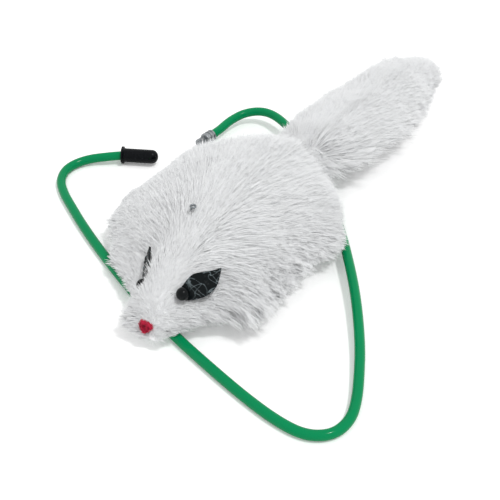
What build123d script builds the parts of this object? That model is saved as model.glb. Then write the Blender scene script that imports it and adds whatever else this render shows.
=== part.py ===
"""A fur-covered toy mouse on a soft plastic playing cord.

The mouse is a hollow moulded capsule in a fur coat. It has leather ears that turn on the pins of
its bead eyes, a fur tail on a leather strip, a rattle inside, and a wire that holds the cord.

Millimetres. +Z is up, the nose points along -Y and the tail along +Y. The origin is under the
middle of the mouse, on the surface that it lies on.
"""

from build123d import *

import os
from math import cos, pi, radians, sin, sqrt, tan

os.makedirs("parts", exist_ok=True)

# ---------------------------------------------------------------- driving dimensions
nose_reach = 113.5  # from the origin forwards to the snout
clearance = 0.3  # air between soft parts that move past each other
running_fit = 0.05  # radial play of a pin in its hole

# capsule: a body of revolution about a lengthways axis, with its underside cut flat
core_front = 7.5  # from the snout to the capsule
core_length = 93.0
core_radius = 17.5
core_height = 10.0  # of its axis, and of the parting line of its two halves
wall = 1.6
lip_depth = 2.5
rib_width = 1.6
hide = 0.9  # skin that laps under the capsule
patch_thickness = 1.2
patch_length = 46.0
patch_width = 20.0
patch_front = 32.0  # from the snout
chin_front = 30.0  # where the underside starts to rise to the chin, clear of the cord
chin_rise = 16.0

# rattle
rattle_radius = 4.0
rattle_wall = 0.8
rattle_length = 24.0
rattle_front = 51.5  # from the snout
rattle_height = 8.2
ball_radius = 2.6
ball_count = 3

# coat
hem_height = 8.0
hem_under = 5.2
left_bulge = 1.12  # of the coat's curve beyond its hem
right_bulge = 0.88
shoulder_angle = 38.0
crown_angle = 72.0

# cord, and what is on it
cord_diameter = 4.0
cap_length = 16.4
cap_radius = 3.1
lip_radius = 3.9
lip_thickness = 0.8
cap_depth = 9.0
ferrule_radius = 2.7
ferrule_length = 5.2
ferrule_depth = 3.2
tongue_width = 4.2
tongue_thickness = 1.0
tongue_reach = 3.0
eye_hole_radius = 1.0
ring_radius = 3.0
ring_wire = 0.4
link_height = 4.0

# anchor wire
wire_radius = 0.4
wire_across = -4.3
wire_along = 41.6  # from the snout
wire_top = 37.6
wire_bend = 2.0
top_eye_radius = 0.9
flank_eye_radius = 1.5

# eyes, ears and nose
bead_radius = 2.5
bead_seat = 1.3  # from the bead's centre to its flat back
pin_radius = 0.5
pin_length = 9.5
pin_in_bead = 1.0  # past the bead's centre
ear_thickness = 0.9
ear_turn = 20.0
nose_width = 5.2
nose_height = 4.3
nose_thickness = 1.2
nose_centre = 9.6
nose_seat = 2.2  # from the snout's foremost point back to the middle of the nose
snout_lean = 24.0

# tail
tab_width = 6.0
tab_thickness = 1.2
tack_gap = 10.0  # from the capsule's end to the tack
tail_reach = 116.5  # from the tack to the tail's tip
bend_back = 7.0  # from the tack to the seam where the tail lifts
tab_height = 13.2
tack_radius = 0.8
tack_head_radius = 2.5
tack_head = 1.0
lug_thickness = 2.6
strip_width = 7.0
strip_thickness = 1.4
seam_gap = 0.6  # from the line that the tail bends on to the leather each side of it

# ---------------------------------------------------------------- places worked out from them
nose_y = -nose_reach
cord_radius = cord_diameter / 2
core_start = nose_y + core_front
core_end = core_start + core_length
tack_y = core_end + tack_gap
bend_y = tack_y + bend_back

# The capsule's outline: share of its length, share of its radius.
core_outline = [
    (0.0, 0.22),
    (0.05, 0.38),
    (0.14, 0.57),
    (0.215, 0.71),
    (0.30, 0.85),
    (0.43, 0.97),
    (0.60, 1.0),
    (0.75, 0.91),
    (0.88, 0.70),
    (0.96, 0.44),
    (1.0, 0.30),
]

# Cross-sections of the coat, from the snout backwards: share of the capsule's length from its
# front, share of its radius, pile on top, left and right of the capsule, how far the hem stands
# out left and right, and the height of the underside.
head_sections = [
    (-core_front / core_length, 0.0, 4.5, 6.5, 7.5, 6.0, 7.0, 5.0),
    (0.0, 0.114, 7.5, 8.3, 6.6, 8.0, 7.6, 5.0),
    (0.065, 0.40, 6.5, 5.8, 2.6, 7.0, 7.0, 4.9),
    (0.14, 0.571, 7.5, 6.6, 2.4, 10.0, 11.5, 3.4),
    (0.215, 0.714, 8.5, 7.5, 4.0, 15.0, 20.5, 1.4),
]
body_sections = [
    head_sections[-1],
    (0.30, 0.846, 9.2, 9.0, 6.5, 16.5, 22.2, 0.3),
    (0.43, 0.971, 10.0, 9.5, 9.0, 15.5, 29.5, 0.3),
    (0.60, 1.0, 10.5, 9.5, 11.0, 16.5, 34.0, 0.3),
    (0.753, 0.914, 10.0, 9.5, 13.0, 22.5, 34.0, 0.3),
    (0.882, 0.714, 11.0, 9.0, 14.0, 21.5, 32.0, 0.8),
    (0.984, 0.371, 12.5, 8.0, 13.5, 15.5, 26.0, 3.0),
    (1.065, 0.171, 10.0, 6.0, 9.0, 8.0, 14.0, 5.0),
]
left_reach = max(s[1] * core_radius + s[5] for s in body_sections) + left_bulge
right_reach = max(s[1] * core_radius + s[6] for s in body_sections) + right_bulge
mid_x = (right_reach - left_reach) / 2  # the mouse's own middle, with the coat centred on x = 0

# Cross-sections of the tail: distance from the tack, centre across, half width, bottom, top.
tail_sections = [
    (9.0, 4.0, 10.0, 10.0, 20.5),
    (19.5, 6.5, 17.0, 10.4, 22.5),
    (35.5, 8.5, 19.5, 10.4, 23.0),
    (52.5, 9.0, 19.0, 3.5, 22.0),
    (70.5, 10.3, 17.5, 0.4, 21.0),
    (87.5, 11.5, 15.0, 0.2, 19.5),
    (102.5, 13.5, 11.5, 0.4, 17.0),
    (111.5, 15.0, 7.5, 2.0, 14.0),
    (tail_reach, 16.0, 2.5, 5.0, 10.0),
]

# The leather strip in the tail: distance from the tack, across, and height.
strip_stations = [(27.5, 4.5, 16.5), (57.5, 7.0, 12.0), (91.5, 10.5, 10.0), (106.5, 13.0, 9.0)]
strip_bend = 12.0

# Route of the cord's middle, from inside the ferrule round behind the mouse: across, distance
# behind the tack, and height.
cord_behind = [
    (-43.0, 14.3, 4.0),
    (-41.5, 21.5, 4.0),
    (-41.1, 30.8, 4.5),
    (-37.4, 39.5, 5.5),
    (-29.3, 43.8, 6.5),
    (-18.6, 40.4, 7.0),
    (-5.5, 31.4, 6.5),
    (8.6, 19.0, 5.0),
    (22.6, 4.6, 3.6),
    (36.6, -11.8, 5.0),
]
# Then beside the mouse, under its chin, and on to inside the end cap: across, distance from the
# snout, and height.
cord_before = [
    (50.1, 80.1, 5.8),
    (63.5, 60.3, 5.2),
    (75.7, 38.7, 4.0),
    (82.0, 24.7, 3.0),
    (85.9, 14.9, 2.3),
    (88.0, 5.6, 2.0),
    (85.6, -3.2, 2.0),
    (77.8, -8.0, 2.0),
    (66.8, -7.3, 2.0),
    (52.6, -3.7, 2.0),
    (34.3, 2.4, 2.0),
    (11.9, 10.6, 2.0),
    (-12.1, 21.4, 2.0),
    (-35.9, 34.2, 2.0),
    (-54.5, 45.2, 2.0),
    (-66.9, 53.5, 2.0),
    (-76.7, 60.2, 2.0),
    (-83.7, 67.1, 2.0),
    (-86.5, 76.0, 2.0),
    (-82.3, 84.6, 2.6),
    (-74.2, 90.0, 3.6),
    (-67.5, 94.7, 3.9),
    (-61.0, 97.6, 3.9),
]
cord_route = [(across, tack_y + along, height) for across, along, height in cord_behind]
cord_route += [(across, nose_y + along, height) for across, along, height in cord_before]


def mid(x, y, z):
    """A point given from the mouse's own middle plane."""
    return Vector(mid_x + x, y, z)


def cross_plane(y):
    """A plane across the mouse at y. Its x is +X and its y is +Z."""
    return Plane(origin=mid(0, y, 0), x_dir=(1, 0, 0), z_dir=(0, -1, 0))


# ---------------------------------------------------------------- capsule
chin_plane = Plane(
    origin=mid(0, nose_y + chin_front, patch_thickness),
    x_dir=(1, 0, 0),
    z_dir=(0, sin(radians(chin_rise)), cos(radians(chin_rise))),
)


def core_body(inset):
    """The capsule's outside, moved inwards by inset, as a solid with its flat underside."""
    start, length = core_start + inset, core_length - 2 * inset
    points = [(start + f * length, g * core_radius - inset) for f, g in core_outline]
    side = Plane(origin=mid(0, 0, core_height), x_dir=(0, 1, 0), z_dir=(1, 0, 0))
    with BuildPart() as body:
        with BuildSketch(side):
            with BuildLine():
                Spline(*points)
                Polyline(points[-1], (start + length, 0), (start, 0), points[0])
            make_face()
        revolve(axis=Axis(mid(0, 0, core_height), (0, 1, 0)))
        split(bisect_by=Plane.XY.offset(patch_thickness + inset), keep=Keep.TOP)
        split(bisect_by=chin_plane.offset(inset), keep=Keep.TOP)
    return body.part


core_outer = core_body(0)
core_step = core_body(wall / 2)
core_inner = core_body(wall)
parting = Plane.XY.offset(core_height)
lip_plane = Plane.XY.offset(core_height - lip_depth)

# ---------------------------------------------------------------- cord
def corner_radii(points):
    """The largest even arcs for the corners of a route: 0.45 of the shorter run beside each."""
    vectors = [Vector(*p) for p in points]
    radii = []
    for before, corner, after in zip(vectors, vectors[1:], vectors[2:]):
        run_in, run_out = corner - before, after - corner
        half_turn = radians(run_in.get_angle(run_out)) / 2
        radii.append(0.45 * min(run_in.length, run_out.length) / tan(half_turn))
    return radii


cord_radii = corner_radii(cord_route)
print("cord radii", [round(r, 1) for r in cord_radii])

with BuildPart() as cord:
    with BuildLine() as cord_line:
        FilletPolyline(*cord_route, radius=cord_radii)
    with BuildSketch(Plane(origin=cord_line.wires()[0] @ 0, z_dir=cord_line.wires()[0] % 0)):
        Circle(cord_radius)
    sweep(path=cord_line.wires()[0])
cord.part.label = "cord"
cord_length = cord_line.wires()[0].length
print("cord length", round(cord_length, 1))
print("cord volume share", round(cord.part.volume / (pi * cord_radius**2 * cord_length), 4))

# ---------------------------------------------------------------- end cap
cap_end, cap_before = Vector(*cord_route[-1]), Vector(*cord_route[-2])
cap_axis = (cap_end - cap_before).normalized()
cap_mouth = cap_end - cap_axis * cap_depth
dome = cap_radius * 0.85

with BuildPart() as end_cap:
    with BuildSketch(Plane(origin=cap_mouth, x_dir=(0, 0, 1), z_dir=Vector(0, 0, 1).cross(cap_axis))):
        # The sketch's x is up from the cap's axis, and its y runs along the axis to the tip.
        with BuildLine():
            Polyline(
                (cap_radius, cap_length - dome),
                (cap_radius, lip_thickness * 1.6),
                (lip_radius, lip_thickness),
                (lip_radius, 0),
                (0, 0),
                (0, cap_length),
            )
            ThreePointArc(
                (0, cap_length),
                (cap_radius * cos(pi / 4), cap_length - dome * (1 - sin(pi / 4))),
                (cap_radius, cap_length - dome),
            )
        make_face()
    revolve(axis=Axis(cap_mouth, cap_axis))
    with BuildSketch(Plane(origin=cap_mouth, z_dir=cap_axis)):
        Circle(cord_radius)
    extrude(amount=cap_depth, mode=Mode.SUBTRACT)
end_cap.part.label = "end_cap"

# ---------------------------------------------------------------- ferrule and link
cord_start, cord_next = Vector(*cord_route[0]), Vector(*cord_route[1])
ferrule_axis = (cord_start - cord_next).normalized()
ferrule_mouth = cord_start - ferrule_axis * ferrule_depth
ferrule_eye = ferrule_mouth + ferrule_axis * (ferrule_length + tongue_reach)
wire_foot = mid(wire_across, nose_y + wire_along, link_height)
link_axis = (wire_foot - ferrule_eye).normalized()
link_centre = ferrule_eye + link_axis * ring_radius
flank_eye = ferrule_eye + link_axis * 2 * ring_radius
ferrule_plane = Plane(origin=ferrule_mouth, x_dir=(0, 0, 1), z_dir=ferrule_axis)
tongue_plane = Plane(origin=ferrule_eye, x_dir=-ferrule_axis, z_dir=(0, 0, 1))
crimp_groove = 0.5

with BuildPart() as ferrule:
    with BuildSketch(ferrule_plane):
        Circle(ferrule_radius)
    extrude(amount=ferrule_length)
    fillet(ferrule.edges().filter_by(GeomType.CIRCLE), 0.4)
    with BuildSketch(ferrule_plane):
        Circle(cord_radius)
    extrude(amount=ferrule_depth, mode=Mode.SUBTRACT)
    for share in (0.3, 0.62):
        with BuildSketch(ferrule_plane.offset(ferrule_length * share)):
            Circle(ferrule_radius + crimp_groove)
            Circle(ferrule_radius - crimp_groove / 2, mode=Mode.SUBTRACT)
        extrude(amount=crimp_groove, both=True, mode=Mode.SUBTRACT)
    with BuildSketch(tongue_plane):
        Circle(tongue_width / 2)
        with Locations((tongue_reach / 2, 0)):
            Rectangle(tongue_reach + crimp_groove * 2, tongue_width)
    extrude(amount=tongue_thickness / 2, both=True)
    with BuildSketch(tongue_plane):
        Circle(eye_hole_radius)
    extrude(amount=tongue_thickness, both=True, mode=Mode.SUBTRACT)
ferrule.part.label = "ferrule"

ring_normal = link_axis.cross(Vector(0, 0, 1)).normalized()
with BuildPart(Plane(origin=link_centre, x_dir=link_axis, z_dir=ring_normal)) as link_ring:
    Torus(ring_radius, ring_wire)
link_ring.part.label = "link_ring"

# ---------------------------------------------------------------- anchor wire
# It stands in the capsule, with a small eye on the back, and runs out under the coat to the flank.
groove_height = patch_thickness + wire_radius + running_fit
leg_top = mid(wire_across, nose_y + wire_along, wire_top)
leg_foot = mid(wire_across, nose_y + wire_along, groove_height)
leg_end = flank_eye + link_axis * flank_eye_radius


def wire_body(radius):
    """The wire's two legs and its bend, as thick as radius makes them."""
    with BuildPart() as body:
        with BuildLine() as line:
            FilletPolyline(leg_top, leg_foot, leg_end, radius=wire_bend)
        with BuildSketch(Plane(origin=leg_top, z_dir=(0, 0, -1))):
            Circle(radius)
        sweep(path=line.wires()[0])
    return body.part


with BuildPart() as anchor_wire:
    add(wire_body(wire_radius))
    with Locations(leg_top + Vector(top_eye_radius, 0, 0)):
        Torus(top_eye_radius, wire_radius)
    with Locations(flank_eye):
        Torus(flank_eye_radius, wire_radius)
anchor_wire.part.label = "anchor_wire"
wire_space = wire_body(wire_radius + running_fit)

# ---------------------------------------------------------------- eyes
# Each side: bead's centre from the middle, the snout and the floor, and where its ear points.
eye_places = {
    "left": ((9.4, 13.4, 21.5), (0.535, 0.735, 0.412), (0.43, -0.658, 0.618), 1),
    "right": ((-8.4, 13.6, 17.6), (-0.472, 0.813, 0.341), (-0.791, -0.561, 0.244), -1),
}
# Outline of an ear from its pin: along it, and across it upwards.
ear_outline = [(0, 2.0), (3.1, 3.1), (7.1, 3.8), (10.2, 2.6), (13.4, 1.2)]
ear_tip = (17.0, 0.1)
ear_outline_below = [(14.0, -2.9), (10.7, -5.0), (6.6, -5.4), (2.0, -4.0), (-1.9, -1.2)]


def ear_plane(side):
    """The plane of an ear's outer face at its pin. Its x runs to the tip and its z faces out."""
    (across, along, height), pointing, outward, _ = eye_places[side]
    centre = mid(across, nose_y + along, height)
    return Plane(origin=centre - Vector(*outward).normalized() * bead_seat, x_dir=pointing, z_dir=outward)


def ear_points(side):
    """The ear's outline from its top edge at the pin, round to the start again."""
    up = eye_places[side][3]
    return [(u, v * up) for u, v in (*ear_outline, ear_tip, *ear_outline_below, ear_outline[0])]


ears, beads, pins, ear_beds = {}, {}, {}, {}
for side in eye_places:
    plane, points = ear_plane(side), ear_points(side)
    tip = len(ear_outline) + 1
    with BuildPart() as ear:
        with BuildSketch(plane):
            with BuildLine():
                Spline(*points[:tip])
                Spline(*points[tip - 1 :])
            make_face()
            Circle(pin_radius + running_fit, mode=Mode.SUBTRACT)
        extrude(amount=-ear_thickness)
    ears[side] = ear.part
    with BuildPart() as pin:
        with BuildSketch(plane.offset(bead_seat + pin_in_bead)):
            Circle(pin_radius)
        extrude(amount=-pin_length)
    pins[side] = pin.part
    centre = plane.offset(bead_seat).origin
    back = running_fit - bead_seat
    back_radius = sqrt(bead_radius**2 - back**2)
    with BuildPart() as bead:
        # The sketch's x is out from the pin, and its y runs along the pin to the front.
        with BuildSketch(Plane(origin=centre, x_dir=plane.x_dir, z_dir=plane.x_dir.cross(plane.z_dir))):
            with BuildLine():
                Polyline((back_radius, back), (pin_radius, back), (pin_radius, pin_in_bead))
                Polyline((pin_radius, pin_in_bead), (0, pin_in_bead), (0, bead_radius))
                ThreePointArc((0, bead_radius), (bead_radius, 0), (back_radius, back))
            make_face()
        revolve(axis=Axis(centre, plane.z_dir))
    beads[side] = bead.part
    # The hollow that the ear turns in.
    with BuildPart() as bed:
        with BuildSketch(plane.offset(-ear_thickness - clearance)):
            for turn in (-ear_turn, 0, ear_turn):
                with Locations(Location((0, 0, 0), (0, 0, turn))):
                    Polygon(*points[:-1], align=None)
            Circle(bead_radius)
            make_hull()
            offset(amount=clearance * 2)
        extrude(amount=ear_thickness * 6)
    ear_beds[side] = bed.part

# ---------------------------------------------------------------- tail's tack and its lug
lug_top = tab_height - running_fit

with BuildPart() as lug:
    with BuildSketch(Plane(origin=mid(0, tack_y, lug_top))):
        Circle(tab_width / 2)
        with Locations((0, (core_end - wall / 2 - tack_y) / 2)):
            Rectangle(tab_width, tack_y - core_end + wall / 2)
        Circle(tack_radius, mode=Mode.SUBTRACT)
    extrude(amount=-lug_thickness)

with BuildPart() as tail_tack:
    with BuildSketch(Plane(origin=mid(0, tack_y, lug_top - lug_thickness))):
        Circle(tack_radius)
    extrude(amount=lug_thickness + tab_thickness + 2 * running_fit)
    with BuildSketch(Plane(origin=mid(0, tack_y, tab_height + tab_thickness + running_fit))):
        Circle(tack_head_radius)
    extrude(amount=tack_head)
    fillet(tail_tack.faces().sort_by(Axis.Z)[-1].edges(), tack_head * 0.6)
tail_tack.part.label = "tail_tack"

with BuildPart() as tail_tab:
    with BuildSketch(Plane(origin=mid(0, tack_y, tab_height))):
        Circle(tab_width / 2)
        with Locations((0, (bend_back - seam_gap) / 2)):
            Rectangle(tab_width, bend_back - seam_gap)
        Circle(tack_radius + running_fit, mode=Mode.SUBTRACT)
    extrude(amount=tab_thickness)
tail_tab.part.label = "tail_tab"

# ---------------------------------------------------------------- coat
def coat_section(share, radius_share, top, left, right, hem_left, hem_right, belly):
    """One cross-section of the coat: a dome on the capsule that spreads to a hem."""
    radius = radius_share * core_radius
    rise, run = sin(radians(shoulder_angle)), cos(radians(shoulder_angle))
    crown_rise, crown_run = sin(radians(crown_angle)), cos(radians(crown_angle))
    crown_left, crown_right = radius + (2 * top + left) / 3, radius + (2 * top + right) / 3
    left_hem, right_hem = radius + hem_left, radius + hem_right
    with BuildSketch(cross_plane(core_start + share * core_length)) as section:
        with BuildLine():
            Spline(
                (crown_left * crown_run, core_height + crown_left * crown_rise),
                ((radius + left) * run, core_height + (radius + left) * rise),
                (left_hem, hem_height),
                (left_hem * 0.78, hem_under),
                (left_hem * 0.42, belly),
                (-right_hem * 0.36, belly),
                (-right_hem * 0.78, hem_under),
                (-right_hem, hem_height),
                (-(radius + right) * run, core_height + (radius + right) * rise),
                (-crown_right * crown_run, core_height + crown_right * crown_rise),
                periodic=True,
            )
        make_face()
    return section.sketch


snout_plane = Plane(
    origin=mid(0, nose_y + nose_seat, nose_centre),
    x_dir=(1, 0, 0),
    z_dir=(0, -cos(radians(snout_lean)), sin(radians(snout_lean))),
)
with BuildPart() as head_fur:
    for section in head_sections:
        add(coat_section(*section))
    loft()
    split(bisect_by=snout_plane, keep=Keep.BOTTOM)
    add(core_outer, mode=Mode.SUBTRACT)
    for side in eye_places:
        add(ear_beds[side], mode=Mode.SUBTRACT)
        add(pins[side], mode=Mode.SUBTRACT)
head_fur.part.label = "head_fur"

with BuildSketch(Plane.XY) as patch_outline:
    with Locations((mid_x, nose_y + patch_front + patch_length / 2)):
        SlotOverall(patch_length, patch_width, rotation=90)
with BuildPart() as belly_patch:
    add(patch_outline.sketch)
    extrude(amount=patch_thickness)
belly_patch.part.label = "belly_patch"

with BuildPart() as body_fur:
    for section in body_sections:
        add(coat_section(*section))
    loft()
    split(bisect_by=Plane.XY.offset(patch_thickness - hide), keep=Keep.TOP)
    add(core_outer, mode=Mode.SUBTRACT)
    add(belly_patch.part, mode=Mode.SUBTRACT)
    add(wire_space, mode=Mode.SUBTRACT)
    add(lug.part, mode=Mode.SUBTRACT)
    for side in eye_places:
        add(ear_beds[side], mode=Mode.SUBTRACT)
body_fur.part.label = "body_fur"

# ---------------------------------------------------------------- capsule halves
rattle_plane = cross_plane(nose_y + rattle_front)
saddle_spots = (rattle_length * 0.2, rattle_length * 0.8)

with BuildPart() as saddles:
    for spot in saddle_spots:
        with BuildSketch(rattle_plane.offset(-spot)):
            with Locations((0, rattle_height / 2)):
                Rectangle(core_radius * 2, rattle_height)
            with Locations((0, rattle_height)):
                Circle(rattle_radius + running_fit, mode=Mode.SUBTRACT)
        extrude(amount=rib_width / 2, both=True)
    add(core_inner, mode=Mode.INTERSECT)

# The step in the lower half, and the upper half's lip that drops into it.
with BuildPart() as step_space:
    add(core_step)
    split(bisect_by=lip_plane.offset(-running_fit), keep=Keep.TOP)

with BuildPart() as lip:
    add(core_step)
    split(bisect_by=lip_plane, keep=Keep.TOP)
    split(bisect_by=parting, keep=Keep.BOTTOM)
    add(core_inner, mode=Mode.SUBTRACT)

with BuildPart() as shell_base:
    add(core_outer)
    split(bisect_by=parting, keep=Keep.BOTTOM)
    add(core_inner, mode=Mode.SUBTRACT)
    add(step_space.part, mode=Mode.SUBTRACT)
    add(saddles.part)
    add(wire_space, mode=Mode.SUBTRACT)
shell_base.part.label = "shell_base"

with BuildPart() as shell_top:
    add(core_outer)
    split(bisect_by=parting, keep=Keep.TOP)
    add(core_inner, mode=Mode.SUBTRACT)
    add(lip.part)
    add(lug.part)
    add(wire_space, mode=Mode.SUBTRACT)
    for side in eye_places:
        add(pins[side], mode=Mode.SUBTRACT)
shell_top.part.label = "shell_top"

# ---------------------------------------------------------------- rattle
rattle_centre = mid(0, nose_y + rattle_front, rattle_height)
rattle_far_end = Plane(origin=rattle_centre, x_dir=(1, 0, 0), z_dir=(0, 1, 0))

with BuildPart() as rattle_tube:
    with BuildSketch(rattle_far_end):
        Circle(rattle_radius)
    extrude(amount=rattle_length)
    fillet(rattle_tube.edges().filter_by(GeomType.CIRCLE), 1.0)
    with BuildSketch(rattle_far_end.offset(rattle_wall)):
        Circle(rattle_radius - rattle_wall)
    extrude(amount=rattle_length - 2 * rattle_wall, mode=Mode.SUBTRACT)
rattle_tube.part.label = "rattle_tube"

with BuildPart() as rattle_balls:
    for place in range(ball_count):
        offset_from_middle = (place - (ball_count - 1) / 2) * 2 * (ball_radius + running_fit)
        with Locations(rattle_centre + Vector(0, rattle_length / 2 + offset_from_middle, 0)):
            Sphere(ball_radius)
rattle_balls.part.label = "rattle_balls"

# ---------------------------------------------------------------- nose
with BuildPart() as nose:
    with BuildSketch(snout_plane):
        lobe = nose_width * 0.28
        lobe_across, lobe_up = nose_width / 2 - lobe, nose_height / 2 - lobe
        with Locations((-lobe_across, lobe_up), (lobe_across, lobe_up)):
            Circle(lobe)
        with Locations((0, -nose_height / 2 + lobe * 0.5)):
            Circle(lobe * 0.5)
        make_hull()
        with Locations((0, nose_height / 2 + lobe * 0.25)):
            Circle(lobe * 0.5, mode=Mode.SUBTRACT)
    extrude(amount=nose_thickness)
    fillet(nose.faces().sort_by(Axis.Y)[0].edges(), nose_thickness * 0.3)
nose.part.label = "nose"

# ---------------------------------------------------------------- tail
def tail_section(along, across, half_width, bottom, top):
    """One cross-section of the tail: rounded, and flatter underneath."""
    middle, rise = (bottom + top) / 2, (top - bottom) / 2
    with BuildSketch(cross_plane(tack_y + along)) as section:
        with BuildLine():
            Spline(
                (across, top),
                (across + half_width * 0.72, middle + rise * 0.68),
                (across + half_width, middle - rise * 0.1),
                (across + half_width * 0.7, bottom + rise * 0.22),
                (across, bottom),
                (across - half_width * 0.7, bottom + rise * 0.22),
                (across - half_width, middle - rise * 0.1),
                (across - half_width * 0.72, middle + rise * 0.68),
                periodic=True,
            )
        make_face()
    return section.sketch


bend_point = mid(0, bend_y, tab_height + tab_thickness / 2)
strip_route = [bend_point + Vector(0, seam_gap, 0)] + [
    mid(across, tack_y + along, height) for along, across, height in strip_stations
]
with BuildPart() as tail_strip:
    with BuildLine() as strip_line:
        FilletPolyline(*strip_route, radius=strip_bend)
    with BuildSketch(Plane(origin=strip_route[0], x_dir=(1, 0, 0), z_dir=(0, 1, 0))):
        Rectangle(strip_width, strip_thickness)
    sweep(path=strip_line.wires()[0])
tail_strip.part.label = "tail_strip"

with BuildPart() as tail_fur:
    for section in tail_sections:
        add(tail_section(*section))
    loft()
    split(bisect_by=Plane.XY, keep=Keep.TOP)
    add(tail_strip.part, mode=Mode.SUBTRACT)
tail_fur.part.label = "tail_fur"

# ---------------------------------------------------------------- files
for side in eye_places:
    for name, piece in (("ear", ears[side]), ("eye", beads[side]), ("eye_pin", pins[side])):
        piece.label = f"{side}_{name}"
        export_step(piece, f"parts/{side}_{name}.step")
export_step(shell_base.part, "parts/shell_base.step")
export_step(shell_top.part, "parts/shell_top.step")
export_step(rattle_tube.part, "parts/rattle_tube.step")
export_step(rattle_balls.part, "parts/rattle_balls.step")
export_step(belly_patch.part, "parts/belly_patch.step")
export_step(body_fur.part, "parts/body_fur.step")
export_step(head_fur.part, "parts/head_fur.step")
export_step(nose.part, "parts/nose.step")
export_step(anchor_wire.part, "parts/anchor_wire.step")
export_step(link_ring.part, "parts/link_ring.step")
export_step(ferrule.part, "parts/ferrule.step")
export_step(cord.part, "parts/cord.step")
export_step(end_cap.part, "parts/end_cap.step")
export_step(tail_tack.part, "parts/tail_tack.step")
export_step(tail_tab.part, "parts/tail_tab.step")
export_step(tail_strip.part, "parts/tail_strip.step")
export_step(tail_fur.part, "parts/tail_fur.step")
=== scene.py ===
"""A white fur toy mouse on a soft green playing cord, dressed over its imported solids."""

import math

import bmesh
import bpy
import numpy as np
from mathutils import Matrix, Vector, kdtree, noise
from mathutils.bvhtree import BVHTree


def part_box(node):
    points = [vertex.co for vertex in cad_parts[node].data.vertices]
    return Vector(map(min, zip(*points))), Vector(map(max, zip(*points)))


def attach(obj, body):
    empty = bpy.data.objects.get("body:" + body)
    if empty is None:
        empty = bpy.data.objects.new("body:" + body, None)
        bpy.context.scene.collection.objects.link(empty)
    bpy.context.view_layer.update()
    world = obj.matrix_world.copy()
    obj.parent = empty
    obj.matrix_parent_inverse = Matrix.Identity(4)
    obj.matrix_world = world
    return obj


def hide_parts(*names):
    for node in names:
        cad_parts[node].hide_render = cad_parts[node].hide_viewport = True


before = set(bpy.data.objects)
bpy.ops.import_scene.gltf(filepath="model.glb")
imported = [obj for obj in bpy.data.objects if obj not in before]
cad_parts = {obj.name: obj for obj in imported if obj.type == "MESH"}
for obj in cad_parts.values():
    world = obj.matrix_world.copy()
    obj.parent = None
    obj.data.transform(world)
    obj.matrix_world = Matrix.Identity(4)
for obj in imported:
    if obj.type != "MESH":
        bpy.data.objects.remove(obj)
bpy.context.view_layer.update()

bl_info = {
    "name": "Fur toy mouse",
    "version": (1, 0, 0),
    "blender": (4, 5, 0),
    "location": "View3D > Sidebar > Fur Mouse",
    "description": "Dresses the packed solids of a fur toy mouse on a playing cord",
    "category": "Object",
}

MM = 0.001
MIDDLE_X = (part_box("nose")[0].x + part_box("nose")[1].x) / 2
SNOUT_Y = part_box("head_fur")[0].y


# ---------------------------------------------------------------- helpers
def linear(hex_colour):
    """The linear colour of an sRGB hex value."""
    parts = [int(hex_colour[i : i + 2], 16) / 255 for i in (1, 3, 5)]
    return tuple(p / 12.92 if p <= 0.04045 else ((p + 0.055) / 1.055) ** 2.4 for p in parts)


def add_node(material, kind, inputs=(), **settings):
    """Adds a node with its settings to a material or world.

    inputs maps a socket to a number, a colour or another node's socket.
    """
    tree = material.node_tree
    node = tree.nodes.new(kind)
    for name, value in settings.items():
        setattr(node, name, value)
    for socket, value in dict(inputs).items():
        if isinstance(value, bpy.types.NodeSocket):
            tree.links.new(value, node.inputs[socket])
        elif node.inputs[socket].type == "RGBA":
            node.inputs[socket].default_value = (*value[:3], 1.0)
        else:
            node.inputs[socket].default_value = value
    return node


def new_material(name):
    """A material with an empty node tree."""
    material = bpy.data.materials.new(name)
    material.use_nodes = True
    material.node_tree.nodes.clear()
    return material


def surface_output(material, shader):
    """Ends a material's nodes with its shader."""
    add_node(material, "ShaderNodeOutputMaterial", {"Surface": shader.outputs[0]})


def new_object(name, mesh, body, material, *nodes, slot=None):
    """Puts a mesh in the scene as a piece that rides on a body and stands for the nodes."""
    piece = bpy.data.objects.new(name, mesh)
    bpy.context.scene.collection.objects.link(piece)
    mesh.materials.clear()
    mesh.materials.append(material)
    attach(piece, body)
    if nodes:
        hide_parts(*nodes)
    return piece


def dress_node(node, material):
    """Gives a solid of the frame its real material."""
    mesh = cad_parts[node].data
    mesh.materials.clear()
    mesh.materials.append(material)


def node_mesh(name, *nodes):
    """One mesh with the copied faces of some solids of the frame."""
    build = bmesh.new()
    for node in nodes:
        build.from_mesh(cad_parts[node].data)
    mesh = bpy.data.meshes.new(name)
    build.to_mesh(mesh)
    build.free()
    return mesh


def remeshed(mesh, voxel):
    """A copy of a mesh as one even skin: the largest closed piece of its voxel remesh."""
    holder = bpy.data.objects.new("remesh_holder", mesh)
    bpy.context.scene.collection.objects.link(holder)
    modifier = holder.modifiers.new("remesh", "REMESH")
    modifier.mode = "VOXEL"
    modifier.voxel_size = voxel
    graph = bpy.context.evaluated_depsgraph_get()
    skin = bpy.data.meshes.new_from_object(holder.evaluated_get(graph))
    bpy.data.objects.remove(holder)
    build = bmesh.new()
    build.from_mesh(skin)
    build.verts.ensure_lookup_table()
    unseen, islands = set(build.verts), []
    while unseen:
        start = unseen.pop()
        island, edge_of_search = {start}, [start]
        while edge_of_search:
            vert = edge_of_search.pop()
            for link in vert.link_edges:
                other = link.other_vert(vert)
                if other in unseen:
                    unseen.discard(other)
                    island.add(other)
                    edge_of_search.append(other)
        islands.append(island)
    keep = max(islands, key=len)
    bmesh.ops.delete(build, geom=[v for v in build.verts if v not in keep], context="VERTS")
    build.to_mesh(skin)
    build.free()
    return skin


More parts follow.
